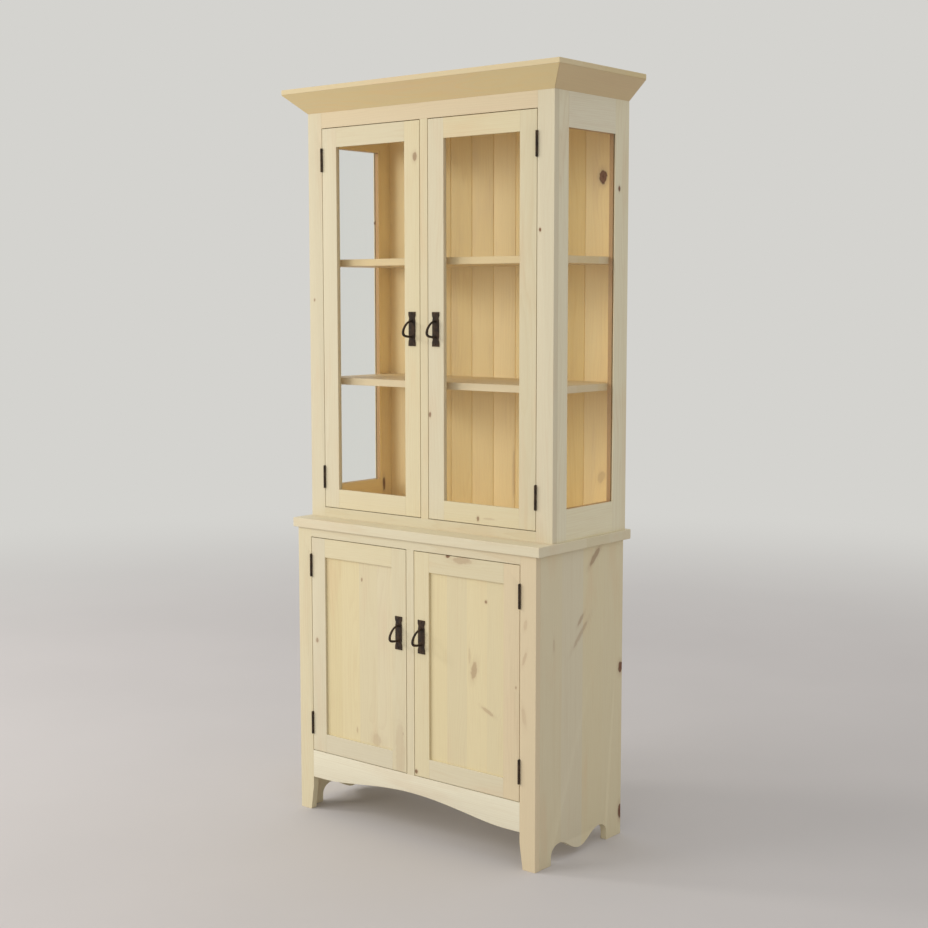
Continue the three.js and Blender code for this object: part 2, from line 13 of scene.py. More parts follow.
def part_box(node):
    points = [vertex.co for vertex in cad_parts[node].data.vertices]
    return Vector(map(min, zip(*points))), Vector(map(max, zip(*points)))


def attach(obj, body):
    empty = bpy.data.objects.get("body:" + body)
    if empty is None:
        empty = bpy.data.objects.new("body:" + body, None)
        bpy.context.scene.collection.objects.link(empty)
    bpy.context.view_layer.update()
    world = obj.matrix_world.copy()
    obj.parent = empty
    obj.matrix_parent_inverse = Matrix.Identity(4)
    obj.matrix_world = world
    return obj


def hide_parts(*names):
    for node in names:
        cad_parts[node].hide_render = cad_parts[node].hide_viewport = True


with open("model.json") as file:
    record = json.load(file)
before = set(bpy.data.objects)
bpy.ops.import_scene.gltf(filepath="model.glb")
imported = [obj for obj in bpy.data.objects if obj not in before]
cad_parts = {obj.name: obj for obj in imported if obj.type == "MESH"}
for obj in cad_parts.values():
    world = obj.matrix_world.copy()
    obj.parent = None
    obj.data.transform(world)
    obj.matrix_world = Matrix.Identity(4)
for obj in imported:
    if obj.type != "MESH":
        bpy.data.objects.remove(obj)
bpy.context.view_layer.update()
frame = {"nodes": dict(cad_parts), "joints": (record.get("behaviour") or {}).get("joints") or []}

bl_info = {
    "name": "Step back cupboard",
    "version": (1, 0, 0),
    "blender": (4, 5, 0),
    "location": "View3D > Sidebar > Cupboard",
    "description": "Dresses a packed step back cupboard with pine boards, panes and forged iron",
    "category": "Object",
}

MM = 0.001
X, Y, Z = 0, 1, 2
SIDES = {"left": -1, "right": 1}

SIDE_MEMBERS = ("front_stile", "rear_stile", "bottom_rail", "top_rail")

# How far a panel or a pane reaches into its frame
HIDDEN_EDGE = 8.5 * MM
PANE_EDGE = 0.4 * MM

# How close counts as the same place, and how sharp an edge counts as one
MERGE_DISTANCE = 0.01 * MM
CUT_DISTANCE = 0.001 * MM
FLAT_ANGLE = math.radians(0.5)
EASED_ANGLE = math.radians(25)
SMOOTH_ANGLE = math.radians(20)
FORGED_ANGLE = math.radians(35)
PLACE_DIGITS = 5
JOINT_MARGIN = 1 * MM
SORTING_WAY = Vector((0.37, 0.71, 1))
WITHIN_MARGIN = 0.5 * MM

# Hinges: where the leaves lie from the pin, and how the barrel is divided
LEAF_FROM_PIN = 1 * MM
LEAF_THICKNESS = 1.5 * MM
LEAF_DEPTH = 16 * MM
LEAF_EDGE = 0.35 * MM
FACE_FROM_PIN = 3.25 * MM
KNUCKLES = 5
KNUCKLE_GAP = 0.4 * MM
KNUCKLE_EDGE = 0.3 * MM
BARREL_SIDES = 24
BARREL_DOME_SHARE = 0.8
WIDE_RIM = 1 * MM
NECK_START = 0.3 * MM
NECK_END = 1 * MM
NECK_EDGE = 0.2 * MM

# Hinge screws: their heads, and their places as shares of the leaf's height and depth
SCREW_SIDES = 20
SCREW_TOP_SHARE = 0.82
SCREW_PROUD = 0.25 * MM
SCREW_SINK = 0.1 * MM
SCREW_HALF_SLOT = 0.3 * MM
SCREW_PLACE_SHARES = [(0.17, 0.6), (0.5, 0.42), (0.83, 0.6)]

# Pulls: the plate, the collars at the grip's roots and the fixing heads
PLATE_THICKNESS = 3 * MM
PLATE_EDGE = 0.9 * MM
ROUTE_STEPS = 5
GRIP_END_SHARE = 0.78
GRIP_SWELL_SHARE = 0.22
GRIP_SWELL_POWER = 1.6
COLLAR_SIDES = 24
COLLAR_RADIUS_SHARE = 1.45
COLLAR_HEIGHT = 1.6 * MM
COLLAR_EDGE = 0.6 * MM
COLLAR_SINK = 0.3 * MM
STUD_PLACE_SHARE = 0.87
STUD_DEPTH_SHARE = 0.5

# Half the pull's plate, as shares of half its width and half its height, from the bottom up
PLATE_OUTLINE_SHARES = [
    (1.0, -1.0), (1.0, -0.8), (0.93, -0.7), (0.8, -0.6), (0.86, -0.5), (0.92, -0.42),
    (0.92, 0.0), (0.92, 0.48), (0.85, 0.56), (0.78, 0.64), (0.91, 0.73), (1.0, 0.8), (1.0, 1.0),
]

# The grip's centre line from its upper root to its lower one, as shares of its reach and its height
GRIP_ROUTE_SHARES = [
    (0.0, 0.5), (0.38, 0.43), (0.66, 0.28), (0.87, 0.08), (0.985, -0.12),
    (0.985, -0.28), (0.85, -0.4), (0.5, -0.46), (0.0, -0.5),
]

# Knots: place across and along the board, half width, half length (mm), strength, tilt in degrees.
# Places are on the cupboard's own axes: x and z on the front, y and z on the sides.
KNOTS = {
    "upper_left_door_lock_stile": [(-31, 1829, 7, 11, 0.62, 0)],
    "upper_right_stile_board": [(382, 1627, 3.2, 4.8, 0.95, 0)],
    "upper_left_stile_board": [(-407, 1453, 3, 4.5, 0.6, 0)],
    "upper_right_door_lock_stile": [(20, 1150, 4, 6.5, 0.75, 0)],
    "upper_right_door_bottom_rail": [(884, 184, 6, 4, 0.7, 0), (887, 220, 2.5, 16, 0.25, 0)],
    "base_right_door_top_rail": [(781, 178, 9, 30, 0.42, 3), (788, 132, 5, 7, 0.85, 0)],
    "base_right_door_lock_stile": [(20, 188, 5, 5.5, 0.8, 0)],
    "base_right_door_panel_boards": [
        (255, 681, 3.8, 4.2, 0.7, 0), (215, 494, 9, 23, 0.5, 10), (262, 393, 4.5, 20, 0.4, -66),
        (200, 530, 3, 22, 0.25, 0),
    ],
    "base_left_door_panel_boards": [
        (-182, 688, 3, 5.5, 0.6, 0), (-203, 262, 2.5, 8, 0.4, 0), (-129, 247, 14, 16, 0.25, 0),
    ],
    "base_left_door_hinge_stile": [(-350, 497, 4.5, 6, 0.6, 0)],
    "base_left_door_lock_stile": [(-38, 235, 16, 75, 0.2, 0), (-27, 284, 2, 5, 0.4, 0)],
    "base_right_door_hinge_stile": [(357, 473, 2.5, 3.5, 0.5, 0)],
    "base_right_stile_board": [
        (384, 551, 4, 18, 0.3, 18), (387, 638, 5, 14, 0.25, 10), (383, 402, 6, 24, 0.22, -8),
    ],
    "base_side_right_boards": [
        (75, 785, 8, 30, 0.58, 45), (12, 626, 5, 18, 0.46, 42), (12, 588, 6, 42, 0.38, 45),
        (199, 466, 9, 15, 1.0, 0), (203, 64, 8, 19, 1.0, 0), (-105, 577, 4, 17, 0.24, 0),
    ],
    "upper_right_side_rear_stile": [(165, 1740, 4, 7, 1.0, 0)],
    "upper_left_side_rear_stile": [(163, 907, 5, 20, 0.9, 0), (150, 1677, 5, 5, 0.7, 0)],
    "upper_back_board_9": [(353, 1776, 11, 17, 1.0, 0), (356, 978, 11, 16, 0.3, 20)],
    "upper_back_board_5": [(58, 965, 4, 70, 0.3, 0)],
}
KNOT_SLOTS = 6
NO_KNOT = (50.0, 50.0, 0.0)

# Chance knots: from what to what their half width and half length (mm), strength and tilt go
CHANCE_KNOT_RANGES = [(3, 8), (4, 11), (0.25, 0.85), (-15, 15)]

# How far a board's outermost places stay inside its outermost strips
STRIP_MARGIN_SHARE = 0.002

# Boards that are pale outside and take the inside's warmer, brighter colour on their faces within: partly the
# inside's own wood, partly painted warm bounce light
WARM_WITHIN = (
    "crown_cap_boards", "upper_back_board", "upper_top_rail_board", "upper_bottom_rail_board",
    "upper_centre_stile_board", "upper_left_stile_board", "upper_right_stile_board",
    "upper_left_side", "upper_right_side",
)

# Boards given a lighter or warmer colour than those beside them. The lighter colour is painted light; the
# warmer one is warmer wood, and also painted shade on the upper top rail
CHOSEN_FINISHES = {
    # Upper top rail: darker and warmer, partly its own wood and partly painted shade under the crown
    "upper_top_rail_board": "warm_wood",
    # Paler apron: painted light, standing in for the floor's bounce light
    "base_apron_board": "light_wood",
    "base_right_stile_board": "warm_wood",
    "base_right_door_hinge_stile": "warm_wood",
    # Paler upper side frames: painted light, standing in for the brighter light on them
    **{f"upper_{side}_side_{member}": "light_wood" for side in SIDES for member in SIDE_MEMBERS},
}

# Each pine: the colour of its growth lines and how strongly they show. Its face has the pine's own name.
PINES = {
    "pale_wood": ("pale_line", 0.45),
    "light_wood": ("pale_line", 0.4),
    "warm_wood": ("pale_line", 0.5),
    "panel_wood": ("pale_line", 0.5),
    "inside_wood": ("inside_line", 0.55),
    "crown_wood": ("inside_line", 0.35),
    "stop_wood": ("inside_line", 0.45),
    "shelf_wood": ("pale_line", 0.45),
}


def shown(red, green, blue):
    """A colour as it is seen, from 0 to 255, as the linear one that Blender works in."""
    def linear(value):
        value /= 255
        return value / 12.92 if value <= 0.04045 else ((value + 0.055) / 1.055) ** 2.4
    return (linear(red), linear(green), linear(blue))


def colour(name, description, default):
    return FloatVectorProperty(
        name=name, description=description, default=default, subtype="COLOR", min=0, max=1
    )


def length(name, description, default):
    return FloatProperty(name=name, description=description, default=default, min=0, unit="LENGTH")


class CupboardColours(bpy.types.PropertyGroup):
    """Colours of the finishes and of the stage"""

    pale_wood: colour("Pale wood", "Face of the pine outside", shown(223, 212, 180))
    # Paler than the pale wood: painted light on the apron and the upper side frames
    light_wood: colour("Light wood", "Face of the upper side frames and the apron", shown(238, 230, 201))
    # Warmer boards; on the upper top rail also painted shade under the crown
    warm_wood: colour("Warm wood", "Face of a few warmer boards", shown(226, 206, 166))
    pale_line: colour("Pale line", "Late growth lines of the pine outside", shown(206, 184, 142))
    blush: colour("Blush", "Warm patches in the pine", shown(222, 192, 154))
    panel_wood: colour("Panel wood", "Face of the door panels", shown(225, 211, 171))
    # Warmer and brighter than the outside: partly the inside's own wood, partly painted warm bounce light
    inside_wood: colour("Inside wood", "Face of the wood within the upper cabinet", shown(252, 227, 167))
    inside_line: colour("Inside line", "Late growth lines inside", shown(228, 190, 122))
    # Darker and warmer than the pale wood: painted shade and warm bounce light on the crown's front and cap
    crown_wood: colour("Crown wood", "Face of the crown's front and of its cap", shown(217, 199, 155))
    # Darker brown than the wood round it: painted shade on the side windows' stops
    stop_wood: colour("Stop wood", "Face of the side windows' stops", shown(188, 147, 99))
    # On the crown's sides this warmer colour is painted shade and warm bounce light
    shelf_wood: colour("Shelf wood", "Face of the upper shelves and the crown's sides", shown(226, 203, 160))
    knot: colour("Knot", "Heart of a knot", shown(112, 66, 32))
    iron: colour("Iron", "Forged iron with a brown-black finish", shown(38, 28, 19))
    worn_iron: colour("Worn iron", "Iron where hands rub it", shown(94, 72, 52))
    floor: colour("Floor", "Plain floor", shown(206, 201, 199))
    backdrop: colour("Backdrop", "Plain ground behind the cupboard", shown(212, 211, 207))


class CupboardSizes(bpy.types.PropertyGroup):
    """Sizes of the details that Blender adds"""

    ease: length("Eased edge", "Width of a board's rounded edge", 0.9 * MM)
    joint_ease: length("Joint edge", "Width of the edge where frame members meet", 0.45 * MM)
    lip_ease: length("Lip edge", "Width of the rounded edge of the waist board and the cap", 1.8 * MM)
    ring_width: length("Ring width", "Distance between growth lines", 4.6 * MM)
    barrel_radius: length("Barrel radius", "Outside radius of a hinge's barrel", 2.75 * MM)
    screw_radius: length("Screw radius", "Radius of a hinge screw's head", 3.1 * MM)
    grip_radius: length("Grip radius", "Thickest radius of a pull's grip", 3.5 * MM)
    grip_height: length("Grip height", "Distance between a grip's roots", 43 * MM)
    grip_sides: IntProperty(name="Grip sides", description="Faces round a grip", default=16, min=6)
    stud_radius: length("Stud radius", "Radius of a pull's fixing heads", 2.6 * MM)


def sizes():
    return bpy.context.scene.cupboard_sizes


def colours():
    return bpy.context.scene.cupboard_colours


class Nodes:
    """Adds nodes to a material, one call for each, and links what it is given."""

    def __init__(self, name):
        self.material = bpy.data.materials.new(name)
        self.material.use_nodes = True
        self.tree = self.material.node_tree
        self.tree.nodes.clear()
        self.output = self.tree.nodes.new("ShaderNodeOutputMaterial")

    def put(self, socket, value):
        if isinstance(value, bpy.types.NodeSocket):
            self.tree.links.new(value, socket)
        elif value is not None:
            if socket.type == "RGBA" and len(value) == 3:
                value = (*value, 1)
            socket.default_value = value

    def add(self, kind, settings=None, **inputs):
        node = self.tree.nodes.new("ShaderNode" + kind)
        for key, value in (settings or {}).items():
            setattr(node, key, value)
        for key, value in inputs.items():
            self.put(node.inputs[key.replace("_", " ")], value)
        return node

    def attribute(self, name):
        return self.add("Attribute", {"attribute_name": name}).outputs

    def maths(self, operation, first, second=0.0, third=0.0):
        node = self.tree.nodes.new("ShaderNodeMath")
        node.operation = operation
        for socket, value in zip(node.inputs, (first, second, third)):
            self.put(socket, value)
        return node.outputs[0]

    def vector(self, operation, first, second=None):
        node = self.tree.nodes.new("ShaderNodeVectorMath")
        node.operation = operation
        self.put(node.inputs[0], first)
        self.put(node.inputs[1], second)
        return node.outputs["Value" if operation == "LENGTH" else "Vector"]

    def mix(self, share, first, second):
        node = self.add("Mix", {"data_type": "RGBA"})
        for index, value in ((0, share), (6, first), (7, second)):
            self.put(node.inputs[index], value)
        return node.outputs[2]

    def ramp(self, value, *stops):
        """A smooth run of values over (place, value) stops."""
        node = self.add("ValToRGB", Fac=value)
        elements = node.color_ramp.elements
        while len(elements) < len(stops):
            elements.new(0.5)
        for element, (place, shade) in zip(elements, stops):
            element.position = place
            element.color = (shade, shade, shade, 1) if isinstance(shade, (int, float)) else (*shade, 1)
        return node.outputs["Color"]

    def span(self, value, low, high, to_low=0.0, to_high=1.0):
        node = self.add("MapRange", {"interpolation_type": "SMOOTHSTEP"})
        for socket, number in zip(node.inputs, (value, low, high, to_low, to_high)):
            self.put(socket, number)
        return node.outputs[0]

    def noise(self, place, scale, detail=3.0, roughness=0.5):
        return self.add("TexNoise", Vector=place, Scale=scale, Detail=detail, Roughness=roughness).outputs

    def bump(self, height, distance, strength=1.0):
        return self.add("Bump", Height=height, Distance=distance, Strength=strength).outputs[0]

    def finish(self, shader):
        self.tree.links.new(shader, self.output.inputs["Surface"])
        return self.material


def pine(name, face, line, contrast):
    """Knotty pine. A board's own attributes place its growth rings, patches, knots and faces inside."""
    n = Nodes(name)
    blush = colours().blush
    ring_width = sizes().ring_width
    # Faces within the upper cabinet take the inside colours: partly their own wood, partly painted warm bounce
    # light
    within = n.attribute("within")["Fac"]
    face = n.mix(within, face, colours().inside_wood)
    line = n.mix(within, line, colours().inside_line)
    grain = n.attribute("grain")["Vector"]
    strip = n.maths("FLOOR", n.attribute("strip")["Fac"])
    chance = n.add("TexWhiteNoise", {"noise_dimensions": "1D"}, W=strip)
    lots = n.add("SeparateXYZ", Vector=chance.outputs["Color"]).outputs

    # Where the tree's heart lies beside and behind the board
    beside = n.maths("MULTIPLY_ADD", lots[0], 0.16, -0.08)
    behind = n.maths("MULTIPLY_ADD", lots[1], 0.09, 0.035)
    heart = n.add("CombineXYZ", X=beside, Y=behind, Z=n.maths("MULTIPLY", strip, 3.7)).outputs[0]
    place = n.vector("ADD", grain, heart)
    slow = n.noise(n.vector("MULTIPLY", place, (7.0, 7.0, 1.6)), 1.0, 2.0)["Color"]
    wander = n.vector("MULTIPLY", n.vector("SUBTRACT", slow, (0.5, 0.5, 0.5)), (0.035, 0.05, 0.0))
    across = n.vector("MULTIPLY", n.vector("ADD", place, wander), (1.0, 1.0, 0.0))
    radius = n.vector("LENGTH", across)

    # Knots push the rings aside and carry their own colours
    rough = n.noise(n.vector("MULTIPLY", place, (110.0, 110.0, 70.0)), 1.0, 3.0, 0.6)["Color"]
    ragged = n.vector("MULTIPLY", n.vector("SUBTRACT", rough, (0.5, 0.5, 0.5)), (1.0, 1.0, 0.0))
    nearest, weight, push, halo = 9.0, 0.0, 0.0, 0.0
    for index in range(KNOT_SLOTS):
        spot = n.attribute(f"knot_{index}")["Vector"]
        strength = n.add("SeparateXYZ", Vector=spot).outputs[2]
        flat = n.vector("MULTIPLY", n.vector("ADD", spot, ragged), (1.0, 1.0, 0.0))
        away = n.vector("LENGTH", flat)
        nearest = n.maths("MINIMUM", nearest, away)
        weight = n.maths("MAXIMUM", weight, n.maths("MULTIPLY", n.span(away, 1.25, 0.8), strength))
        halo = n.maths("MAXIMUM", halo, n.maths("MULTIPLY", n.span(away, 2.4, 0.8), strength))
        push = n.maths("MAXIMUM", push, n.span(away, 4.5, 0.0))
    radius = n.maths("MULTIPLY_ADD", push, 0.006, radius)

    uneven = n.noise(n.vector("MULTIPLY", across, (38.0, 38.0, 0.0)), 1.0, 2.0)["Fac"]
    turns = n.maths("MULTIPLY_ADD", uneven, 3.0, n.maths("DIVIDE", radius, ring_width))
    phase = n.maths("FRACT", turns)
    late = n.ramp(phase, (0.0, 0.0), (0.5, 0.12), (0.82, 0.8), (0.9, 1.0), (1.0, 0.0))
    fibre = n.noise(n.vector("MULTIPLY", place, (520.0, 520.0, 11.0)), 1.0, 3.0, 0.6)["Fac"]
    streak = n.noise(n.vector("MULTIPLY", place, (75.0, 75.0, 1.4)), 1.0, 3.0, 0.55)["Fac"]
    patch = n.noise(n.vector("MULTIPLY", place, (15.0, 15.0, 3.2)), 1.0, 3.0, 0.5)["Fac"]

    lines = n.maths("MULTIPLY", late, n.span(patch, 0.3, 0.75, 0.16 * contrast, 0.62 * contrast))
    wood = n.mix(lines, face, line)
    wood = n.mix(n.span(patch, 0.52, 0.78, 0.0, 0.34), wood, blush)
    wood = n.mix(n.span(streak, 0.55, 0.8, 0.0, 0.34 * contrast), wood, line)
    wood = n.mix(n.span(fibre, 0.62, 0.35, 0.0, 0.12), wood, line)
    tone = n.add("HueSaturation", Color=wood)
    n.put(tone.inputs["Value"], n.maths("MULTIPLY_ADD", lots[2], 0.07, 0.965))
    n.put(tone.inputs["Saturation"], n.maths("MULTIPLY_ADD", lots[0], 0.24, 0.88))
    wood = tone.outputs[0]

    heartwood = colours().knot
    pale_heart = [0.9 * a + 0.1 * b for a, b in zip(heartwood, blush)]
    rim = [0.35 * value for value in heartwood]
    ringed = n.ramp(
        n.maths("MULTIPLY", nearest, 0.5),
        (0.0, rim), (0.1, heartwood), (0.3, pale_heart), (0.42, heartwood), (0.5, rim), (0.62, heartwood),
    )
    stain = [0.5 * a + 0.5 * b for a, b in zip(blush, heartwood)]
    wood = n.mix(n.maths("MULTIPLY", halo, 0.35), wood, stain)
    wood = n.mix(weight, wood, n.mix(n.span(weight, 0.3, 0.8), stain, ringed))

    shader = n.add("BsdfPrincipled", Base_Color=wood)
    gloss = n.maths("MULTIPLY_ADD", fibre, 0.14, n.maths("MULTIPLY_ADD", late, -0.05, 0.44))
    n.put(shader.inputs["Roughness"], gloss)
    relief = n.maths("MULTIPLY_ADD", late, 0.35, n.maths("MULTIPLY_ADD", weight, 0.5, fibre))
    n.put(shader.inputs["Normal"], n.bump(relief, 0.25 * MM, 0.5))
    return n.finish(shader.outputs[0])


def forged_iron(name):
    """Hammered iron with a brown-black finish, rubbed a little lighter on its ridges."""
    n = Nodes(name)
    place = n.add("TexCoord").outputs["Object"]
    dents = n.add("TexVoronoi", {"feature": "SMOOTH_F1"}, Vector=place, Scale=210.0, Smoothness=0.6)
    cloud = n.noise(place, 65.0, 4.0)["Fac"]
    ridge = n.add("NewGeometry").outputs["Pointiness"]
    rubbed = n.maths("MULTIPLY", n.span(ridge, 0.52, 0.62), n.span(cloud, 0.35, 0.7, 0.3, 0.9))
    body = n.mix(n.span(cloud, 0.35, 0.7, 0.0, 0.6), colours().iron, colours().worn_iron)
    shader = n.add("BsdfPrincipled", Base_Color=n.mix(rubbed, body, colours().worn_iron), Metallic=0.3)
    n.put(shader.inputs["Roughness"], n.span(cloud, 0.3, 0.7, 0.42, 0.62))
    height = n.maths("MULTIPLY_ADD", cloud, 0.4, dents.outputs["Distance"])
    n.put(shader.inputs["Normal"], n.bump(height, 0.5 * MM, 0.7))
    return n.finish(shader.outputs[0])


def clear_glass(name):
    """Thin clear glass: what is behind shows through, under a faint reflection."""
    n = Nodes(name)
    place = n.add("TexCoord").outputs["Object"]
    ripple = n.noise(n.vector("MULTIPLY", place, (3.0, 3.0, 1.6)), 1.0, 1.0)["Fac"]
    film = n.noise(place, 9.0, 4.0)["Fac"]
    through = n.add("BsdfTransparent", Color=(0.99, 0.995, 0.992))
    mirror = n.add("BsdfGlossy", Color=(1.0, 1.0, 1.0), Roughness=n.span(film, 0.3, 0.8, 0.01, 0.06))
    n.put(mirror.inputs["Normal"], n.bump(ripple, 1.5 * MM, 0.25))
    facing = n.add("LayerWeight", Blend=0.5).outputs["Facing"]
    grazing = n.maths("MULTIPLY_ADD", n.maths("POWER", facing, 4.0), 0.5, 0.016)
    outside = n.maths("SUBTRACT", 1.0, n.add("NewGeometry").outputs["Backfacing"])
    both = n.add("MixShader", Fac=n.maths("MULTIPLY", grazing, outside))
    n.put(both.inputs[1], through.outputs[0])
    n.put(both.inputs[2], mirror.outputs[0])
    return n.finish(both.outputs[0])


def finish_named(name):
    """A finish's material, made when it is first asked for."""
    title = name.replace("_", " ")
    made = bpy.data.materials.get(title)
    if made:
        return made
    if name in PINES:
        line, contrast = PINES[name]
        return pine(title, getattr(colours(), name), getattr(colours(), line), contrast)
    return {"dark_iron": forged_iron, "clear_glass": clear_glass}[name](title)


def stand(bm, name, body, nodes, slot, finish=None):
    """Makes an object of a finished bmesh, in the frame's own place, for the CAD nodes that it stands for."""
    mesh = bpy.data.meshes.new(name)
    bm.to_mesh(mesh)
    bm.free()
    mesh.materials.append(finish_named(finish or CHOSEN_FINISHES.get(name, slot)))
    obj = bpy.data.objects.new(name, mesh)
    bpy.context.scene.collection.objects.link(obj)
    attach(obj, body)
    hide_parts(*nodes)
    return obj


def copied(node):
    """A CAD node's solid as a bmesh, with its triangles merged back into flat faces."""
    bm = bmesh.new()
    bm.from_mesh(frame["nodes"][node].data)
    for layers in (bm.loops.layers.uv, bm.verts.layers.float_vector):
        for layer in list(layers):
            layers.remove(layer)
    bmesh.ops.remove_doubles(bm, verts=bm.verts, dist=MERGE_DISTANCE)
    bmesh.ops.dissolve_limit(bm, angle_limit=FLAT_ANGLE, verts=bm.verts, edges=bm.edges)
    return bm


def sliced(bm, point, normal):
    """Cuts away what lies beyond a plane and closes the cut."""
    everything = bm.verts[:] + bm.edges[:] + bm.faces[:]
    bmesh.ops.bisect_plane(
        bm, geom=everything, dist=CUT_DISTANCE, plane_co=point, plane_no=normal, clear_outer=True
    )
    open_edges = [edge for edge in bm.edges if edge.is_boundary]
    if open_edges:
        bmesh.ops.holes_fill(bm, edges=open_edges)
    return bm


def trimmed(bm, axis, low, high):
    """Cuts away what lies outside two places on one axis. None stands for no cut."""
    for bound, way in ((low, -1), (high, 1)):
        if bound is not None:
            point, normal = Vector(), Vector()
            point[axis], normal[axis] = bound, way
            sliced(bm, point, normal)
    return bm


def eased(bm, width, segments=2):
    """Rounds every sharp edge."""
    bmesh.ops.recalc_face_normals(bm, faces=bm.faces)
    sharp = [edge for edge in bm.edges if edge.calc_face_angle(0.0) > EASED_ANGLE]
    bmesh.ops.bevel(
        bm, geom=sharp, offset=width, affect="EDGES", segments=segments, profile=0.5, material=-1,
        clamp_overlap=True,
    )
    return bm


def smooth_curves(mesh, angle=SMOOTH_ANGLE):
    """Shades round stretches smooth and keeps flat faces flat."""
    mesh.polygons.foreach_set("use_smooth", [True] * len(mesh.polygons))
    mesh.set_sharp_from_angle(angle=angle)


def add_mesh(bm, other):
    """Adds another bmesh to this one and frees it."""
    spare = bpy.data.meshes.new("spare")
    other.to_mesh(spare)
    other.free()
    bm.from_mesh(spare)
    bpy.data.meshes.remove(spare)


def settled(bm):
    """The same form in a new bmesh, because one that a bevel has worked on fills up in a chance order."""
    fresh = bmesh.new()
    add_mesh(fresh, bm)
    return fresh


def put_in_order(bm):
    """Sorts vertices and faces by place, because drawing out a face leaves them in a chance order."""
    bm.verts.sort(key=lambda vertex: vertex.co.dot(SORTING_WAY))
    bm.verts.index_update()
    count = len(bm.verts)

    def rank(face):
        first, second, third = sorted(vertex.index for vertex in face.verts)[:3]
        return (first * count + second) * count + third

    bm.faces.sort(key=rank)


class Timber:
    """Hands out strip numbers, so that no two boards come from the same place in the tree."""

    number = 0

    @classmethod
    def strips(cls, count):
        first = cls.number
        cls.number += count + 1
        return first


def scattered(name, count, low, high, across, along):
    """Small knots at chance places on a board that the photograph doesn't show."""
    lots = random.Random(name)
    return [
        (
            lots.uniform(low[across], high[across]) / MM, lots.uniform(low[along], high[along]) / MM,
            *(lots.uniform(*ends) for ends in CHANCE_KNOT_RANGES),
        )
        for _ in range(count)
    ]


def mark_within(mesh):
    """Marks the faces inside the upper cabinet, which take the inside's colour: partly its own wood, partly
    painted warm bounce light.
    """
    left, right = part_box("upper_side_frame_left"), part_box("upper_side_frame_right")
    front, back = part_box("upper_left_stile"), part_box("upper_back")
    low = Vector((left[1].x, front[1].y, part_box("waist_board")[1].z))
    high = Vector((right[0].x, (back[0].y + back[1].y) / 2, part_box("crown_cap")[0].z))
    marks = [
        float(all(a - WITHIN_MARGIN < b < c + WITHIN_MARGIN for a, b, c in zip(low, face.center, high)))
        for face in mesh.polygons
    ]
    mesh.attributes.new("within", "FLOAT", "FACE").data.foreach_set("value", marks)


def lay_grain(obj, along, across, strips=1, wild=0):
    """Gives a board the attributes that the pine reads: its grain, its glued strips and its knots."""
    mesh = obj.data
    spots = [vertex.co for vertex in mesh.vertices]
    low = Vector([min(spot[axis] for spot in spots) for axis in (X, Y, Z)])
    high = Vector([max(spot[axis] for spot in spots) for axis in (X, Y, Z)])
    centre = (low + high) / 2
    depth = X + Y + Z - along - across
    first = Timber.strips(strips)
    width = high[across] - low[across]
    grain, strip = [], []
    for spot in spots:
        away = spot - centre
        grain += [away[across], away[depth], away[along]]
        share = (spot[across] - low[across]) / width
        inner_share = STRIP_MARGIN_SHARE + (1 - 2 * STRIP_MARGIN_SHARE) * share
        strip.append(first + strips * inner_share if strips > 1 else first + 0.5)
    mesh.attributes.new("grain", "FLOAT_VECTOR", "POINT").data.foreach_set("vector", grain)
    mesh.attributes.new("strip", "FLOAT", "POINT").data.foreach_set("value", strip)

    knots = KNOTS.get(obj.name, []) + scattered(obj.name, wild, low, high, across, along)
    for index in range(KNOT_SLOTS):
        values = []
        if index < len(knots):
            at_across, at_along, half_across, half_along, strength, tilt = knots[index]
            turn = Matrix.Rotation(math.radians(tilt), 2)
            for spot in spots:
                away = turn @ Vector((spot[across] - at_across * MM, spot[along] - at_along * MM))
                values += [away.x / (half_across * MM), away.y / (half_along * MM), strength]
        else:
            values = list(NO_KNOT) * len(spots)
        mesh.attributes.new(f"knot_{index}", "FLOAT_VECTOR", "POINT").data.foreach_set("vector", values)
    if obj.name.startswith(WARM_WITHIN):
        mark_within(mesh)
    smooth_curves(mesh)


def board(node, name, slot, along, across, ease=None, strips=1, wild=0, body="root", bm=None, finish=None):
    """One board with eased edges, from a whole CAD node or from a part already carved out of it."""
    bm = eased(bm or copied(node), ease or sizes().ease)
    lay_grain(stand(bm, name, body, [node], slot, finish), along, across, strips, wild)


def opening(node):
    """The low and high corners of the opening that a panel or a pane fills."""
    low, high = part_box(node)
    thin = min((X, Y, Z), key=lambda axis: high[axis] - low[axis])
    reach = Vector([0 if axis == thin else HIDDEN_EDGE for axis in (X, Y, Z)])
    return low + reach, high - reach


def framed(node, filling, across, names, slot, body="root"):
    """A frame as its four members: stiles of full height, then rails between them."""
    low, high = opening(filling)
    near_stile, far_stile, bottom_rail, top_rail = names
    ease = sizes().joint_ease
    for name, start, end in ((near_stile, None, low[across]), (far_stile, high[across], None)):
        bm = trimmed(copied(node), across, start, end)
        board(node, name, slot, Z, across, ease, body=body, bm=bm)
    for name, start, end in ((bottom_rail, None, low.z), (top_rail, high.z, None)):
        bm = trimmed(copied(node), across, low[across], high[across])
        board(node, name, slot, across, Z, ease, body=body, bm=trimmed(bm, Z, start, end))


